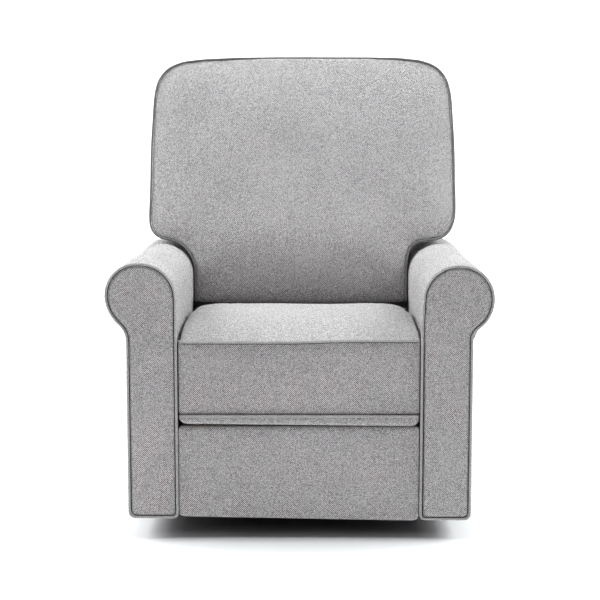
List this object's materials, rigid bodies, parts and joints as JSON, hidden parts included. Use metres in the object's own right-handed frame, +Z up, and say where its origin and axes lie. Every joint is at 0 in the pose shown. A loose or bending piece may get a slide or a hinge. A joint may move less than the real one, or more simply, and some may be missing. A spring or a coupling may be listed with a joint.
{
  "type": "swivel glider recliner",
  "caption": "Upholstered nursery recliner with rolled arms and a T-shaped back cushion; swivels on a round base, glides, reclines and folds out a leg rest.",
  "frame": {"origin": "on the floor, on the swivel axis, below the middle of the chair", "axes": "+Z up, -Y the way the sitter faces, +X the sitter's left"},
  "size_m": [0.8638, 0.8876, 1.0856],
  "materials": {
    "upholstery_cushions": "light warm grey tweed weave",
    "upholstery_body": "light warm grey tweed weave",
    "base_steel": "black powder coat",
    "mechanism_steel": "dark zinc and black coat",
    "bright_steel": "zinc plated",
    "spring_steel": "oiled wire",
    "bushing_brass": "turned",
    "frame_wood": "raw sawn plywood and hardwood",
    "deck_felt": "pressed felt",
    "floor_rubber": "matt",
    "lever_plastic": "fine texture"
  },
  "bodies": {
    "base": {"base_ring": "base_steel", "floor_pads": "floor_rubber", "crossbar_long": "base_steel", "crossbar_short": "base_steel", "hub_plate": "base_steel", "pivot_post": "bright_steel", "lower_race": "bright_steel", "bearing_balls": "bright_steel", "spindle_washer": "bright_steel", "spindle_nut": "bright_steel"},
    "swivel_frame": {"upper_race": "bright_steel", "swivel_plate": "base_steel", "pivot_bushing": "bushing_brass", "cross_tube_front": "base_steel", "cross_tube_rear": "base_steel", "glide_stand_left": "base_steel", "glide_stand_right": "base_steel", "glide_top_pins": "bright_steel"},
    "front_links": {"glide_front_links": "mechanism_steel"},
    "rear_links": {"glide_rear_links": "mechanism_steel"},
    "chair_body": {"mechanism_plate_left": "mechanism_steel", "mechanism_plate_right": "mechanism_steel", "glide_bottom_pins": "bright_steel", "mechanism_rivets": "bright_steel", "recline_pins": "bright_steel", "seat_front_rail": "frame_wood", "seat_rear_rail": "frame_wood", "seat_side_rails": "frame_wood", "seat_springs": "spring_steel", "seat_deck_pad": "deck_felt", "seat_cushion": "upholstery_cushions", "seat_front_band": "upholstery_body", "arm_frame_left": "frame_wood", "arm_frame_right": "frame_wood", "arm_pad_left": "upholstery_body", "arm_pad_right": "upholstery_body", "arm_facing_left": "upholstery_body", "arm_facing_right": "upholstery_body", "arm_bolts": "bright_steel", "rear_rail": "frame_wood", "rear_panel": "upholstery_body", "release_pin": "bright_steel"},
    "release": {"release_lever": "lever_plastic"},
    "backrest": {"back_stile_left": "frame_wood", "back_stile_right": "frame_wood", "back_top_rail": "frame_wood", "back_lumbar_rail": "frame_wood", "back_bottom_rail": "frame_wood", "back_springs": "spring_steel", "recline_brackets": "mechanism_steel", "back_cushion": "upholstery_cushions", "back_shell": "upholstery_body"},
    "drive_links": {"legrest_drive_links": "mechanism_steel", "legrest_torque_tube": "mechanism_steel"},
    "control_links": {"legrest_control_links": "mechanism_steel"},
    "long_links": {"legrest_long_links": "mechanism_steel"},
    "tie_links": {"legrest_tie_links": "mechanism_steel"},
    "footrest": {"footrest_brackets": "mechanism_steel", "footrest_board": "frame_wood", "footrest_pad": "upholstery_body"}
  },
  "joints": [
    {"name": "swivel", "type": "hinge", "parent": "base", "child": "swivel_frame", "pos_m": [0, 0, 0.05], "axis": [0, 0, 1], "continuous": true},
    {"name": "glide", "type": "hinge", "parent": "swivel_frame", "child": "front_links", "pos_m": [0, -0.13, 0.24], "axis": [-1, 0, 0], "range_deg": [-22, 22]},
    {"name": "carriage_level", "type": "hinge", "parent": "front_links", "child": "chair_body", "pos_m": [0, -0.13, 0.08], "axis": [-1, 0, 0], "range_deg": [-22, 22]},
    {"name": "glide_rear", "type": "hinge", "parent": "swivel_frame", "child": "rear_links", "pos_m": [0, 0.13, 0.24], "axis": [-1, 0, 0], "range_deg": [-22, 22]},
    {"name": "recline", "type": "hinge", "parent": "chair_body", "child": "backrest", "pos_m": [0, 0.235, 0.3], "axis": [-1, 0, 0], "range_deg": [0, 30]},
    {"name": "legrest", "type": "hinge", "parent": "chair_body", "child": "drive_links", "pos_m": [0, -0.334, 0.231], "axis": [-1, 0, 0], "range_deg": [0, 97]},
    {"name": "legrest_control", "type": "hinge", "parent": "chair_body", "child": "control_links", "pos_m": [0, -0.3192, 0.2024], "axis": [-1, 0, 0], "range_deg": [0, 99]},
    {"name": "legrest_long", "type": "hinge", "parent": "drive_links", "child": "long_links", "pos_m": [0, -0.32929, 0.09608], "axis": [-1, 0, 0], "range_deg": [-118, 0]},
    {"name": "legrest_tie", "type": "hinge", "parent": "drive_links", "child": "tie_links", "pos_m": [0, -0.32824, 0.0661], "axis": [-1, 0, 0], "range_deg": [-118, 0]},
    {"name": "footrest_tilt", "type": "hinge", "parent": "long_links", "child": "footrest", "pos_m": [0, -0.38401, 0.24643], "axis": [-1, 0, 0], "range_deg": [0, 118]},
    {"name": "release", "type": "hinge", "parent": "chair_body", "child": "release", "pos_m": [0, -0.33, 0.269], "axis": [-1, 0, 0], "range_deg": [0, 16], "stiffness_Nm_per_rad": 0.8, "springref_deg": -17.19}
  ],
  "couplings": [
    {"joint": "carriage_level", "follows": "glide", "ratio": -1},
    {"joint": "glide_rear", "follows": "glide", "ratio": 1},
    {"joint": "legrest_control", "follows": "legrest", "ratio": 1.0101},
    {"joint": "legrest_long", "follows": "legrest", "ratio": -1.2062},
    {"joint": "legrest_tie", "follows": "legrest", "ratio": -1.2062},
    {"joint": "footrest_tilt", "follows": "legrest", "ratio": 1.2062}
  ]
}
